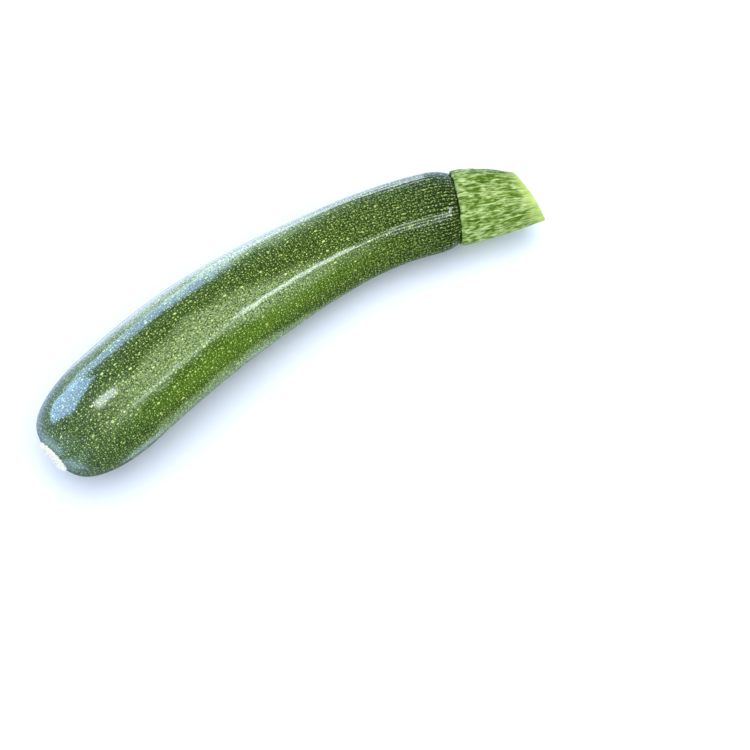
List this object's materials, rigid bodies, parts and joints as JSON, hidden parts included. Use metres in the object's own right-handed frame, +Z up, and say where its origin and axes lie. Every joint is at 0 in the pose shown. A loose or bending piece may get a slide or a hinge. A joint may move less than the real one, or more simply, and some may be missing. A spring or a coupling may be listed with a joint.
{
  "type": "courgette",
  "caption": "Whole fresh courgette laid on its side: slim, slightly bent, faintly ribbed dark green fruit with a blunt blossom end and a cut, ridged stub of stalk.",
  "frame": {"origin": "on the surface the courgette lies on, under the middle of its box", "axes": "+X along the fruit from the blossom end to the cut stalk, +Y towards the outer side of its bend, +Z up"},
  "size_m": [0.2082, 0.0517, 0.0403],
  "materials": {
    "skin": "satin",
    "stalk": "satin"
  },
  "bodies": {
    "root": {"fruit": "skin", "stalk": "stalk"}
  },
  "joints": []
}
